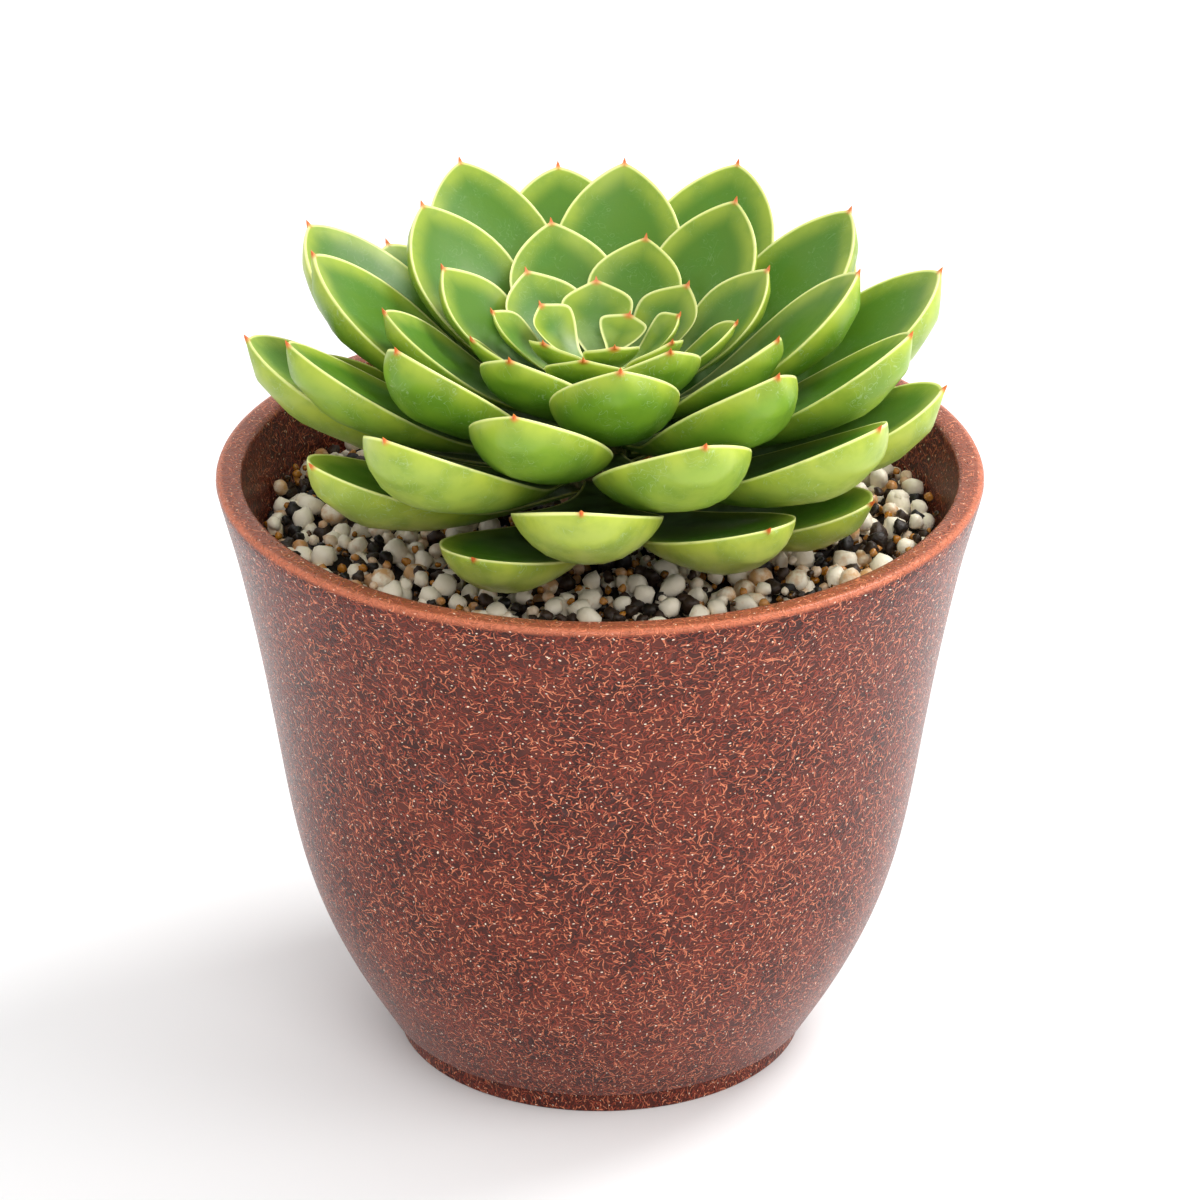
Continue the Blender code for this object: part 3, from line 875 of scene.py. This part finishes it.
class LEAF_OT_rosette(bpy.types.Operator):
    """Shapes a leaf round each leaf of the frame"""

    bl_idname = "succulent.leaves"
    bl_label = "Leaves"

    def execute(self, context):
        settings = context.scene.succulent_leaf
        mat = living_leaf(settings)
        blank, across, along, under, point = leaf_blank()
        for number, node in enumerate(LEAF_NODES):
            age = 1.0 - (1.0 - YOUNGEST_AGE) * number / (len(LEAF_NODES) - 1)
            shape = LeafShape(node, age, settings)
            places = shape.surface(across, along, under, point)
            seed = Vector((number * 7.3, -number * 3.1, number * 1.7))
            most = settings.wobble * (shape.width / FULL_WIDTH)
            wobble = [most * noise.noise(Vector(place) / SWELL_SIZE + seed) for place in places]
            places[:, 2] += np.array(wobble) * np.sin(np.clip(along, 0, 1) * pi / 2)
            leaf = blank.copy()
            leaf.data = blank.data.copy()
            context.scene.collection.objects.link(leaf)
            leaf.data.vertices.foreach_set("co", places.ravel())
            tip = places[point == 1.0].mean(axis=0)
            values = {
                "edge_mm": distance_to(places, dense_margin(shape)) / MM,
                "tip_mm": np.linalg.norm(places - tip, axis=1) / MM,
                "along": along,
                "under": under,
                "age": np.full(len(places), age),
            }
            for name, value in values.items():
                set_attribute(leaf.data, name, value)
            finish_piece(leaf, f"rosette_{node}", mat, [node])
        bpy.data.objects.remove(blank, do_unlink=True)
        return {"FINISHED"}


# ---- Stage -----------------------------------------------------------------------------------
AIM = (0.0, 0.0, 0.08)
# Each soft light: its name, its place, its width and its power in watts.
LIGHTS = (
    ("key", (0.6, 0.3, 0.95), 0.5, 8.0),
    ("front_fill", (0.1, -0.9, 1.0), 0.8, 4.5),
    ("right_fill", (0.95, -0.25, 0.45), 0.6, 3.5),
)
ROOM_LIGHT = 0.95
FLOOR_RADIUS = 4.0
SENSOR_MM = 36.0


def area_light(name, place, width, power):
    """A round soft light that faces the pot."""
    data = bpy.data.lights.new(name, "AREA")
    data.shape = "DISK"
    data.size = width
    data.energy = power
    light = bpy.data.objects.new(name, data)
    light.location = place
    light.rotation_euler = (Vector(AIM) - Vector(place)).to_track_quat("-Z", "Y").to_euler()
    bpy.context.scene.collection.objects.link(light)


def white_paper(settings):
    """Matt white paper: even and bright, with no gloss, so that only soft shadows show on it."""
    paper = Material("matt_white_paper")
    paper.connect(paper.shader, {"Base Color": rgba(settings.floor), "Roughness": 0.9})
    return paper.result


class STAGE_OT_studio(bpy.types.Operator):
    """Sets the floor, the soft lights and the camera"""

    bl_idname = "succulent.stage"
    bl_label = "Stage"

    def execute(self, context):
        settings = context.scene.succulent_stage
        scene = context.scene
        bpy.ops.object.select_all(action="DESELECT")
        bpy.ops.mesh.primitive_circle_add(vertices=64, radius=FLOOR_RADIUS, fill_type="NGON")
        floor = context.active_object
        floor.name = "floor"
        cover(floor, white_paper(settings))

        world = bpy.data.worlds.new("soft_white_room")
        world.use_nodes = True
        backdrop = world.node_tree.nodes["Background"]
        backdrop.inputs["Color"].default_value = rgba((1.0, 1.0, 1.0))
        backdrop.inputs["Strength"].default_value = ROOM_LIGHT
        scene.world = world
        for light in LIGHTS:
            area_light(*light)
        scene.view_settings.view_transform = "Standard"
        scene.view_settings.look = "None"

        data = bpy.data.cameras.new("camera")
        data.lens = settings.lens
        data.sensor_width = SENSOR_MM
        camera = bpy.data.objects.new("camera", data)
        level, rise = cos(settings.elevation), sin(settings.elevation)
        camera.location = (0.0, -settings.distance * level, settings.aim_height + settings.distance * rise)
        camera.rotation_euler = (pi / 2 - settings.elevation, 0.0, 0.0)
        scene.collection.objects.link(camera)
        scene.camera = camera
        return {"FINISHED"}


# ---- Add-on ----------------------------------------------------------------------------------
STEPS = (
    ("succulent.stage", "Stage"),
    ("succulent.pot", "Pot"),
    ("succulent.gravel", "Gravel"),
    ("succulent.stem", "Stem"),
    ("succulent.leaves", "Leaves"),
)


class SUCCULENT_PT_panel(bpy.types.Panel):
    """Lists the steps in the sidebar"""

    bl_label = "Potted succulent"
    bl_idname = "SUCCULENT_PT_panel"
    bl_space_type = "VIEW_3D"
    bl_region_type = "UI"
    bl_category = "Succulent"

    def draw(self, context):
        for identifier, label in STEPS:
            self.layout.operator(identifier, text=label)


SETTINGS = {
    "succulent_pot": PotSettings,
    "succulent_gravel": GravelSettings,
    "succulent_stem": StemSettings,
    "succulent_leaf": LeafSettings,
    "succulent_stage": StageSettings,
}
CLASSES = (
    *SETTINGS.values(),
    POT_OT_body,
    GRAVEL_OT_grains,
    STEM_OT_skin,
    LEAF_OT_rosette,
    STAGE_OT_studio,
    SUCCULENT_PT_panel,
)


def register():
    for cls in CLASSES:
        bpy.utils.register_class(cls)
    for name, cls in SETTINGS.items():
        setattr(bpy.types.Scene, name, PointerProperty(type=cls))


def unregister():
    for name in SETTINGS:
        delattr(bpy.types.Scene, name)
    for cls in reversed(CLASSES):
        bpy.utils.unregister_class(cls)


def main():
    register()
    bpy.ops.succulent.stage()
    bpy.ops.succulent.pot()
    bpy.ops.succulent.gravel()
    bpy.ops.succulent.stem()
    bpy.ops.succulent.leaves()
    bpy.context.view_layer.update()


if __name__ == "__main__":
    main()
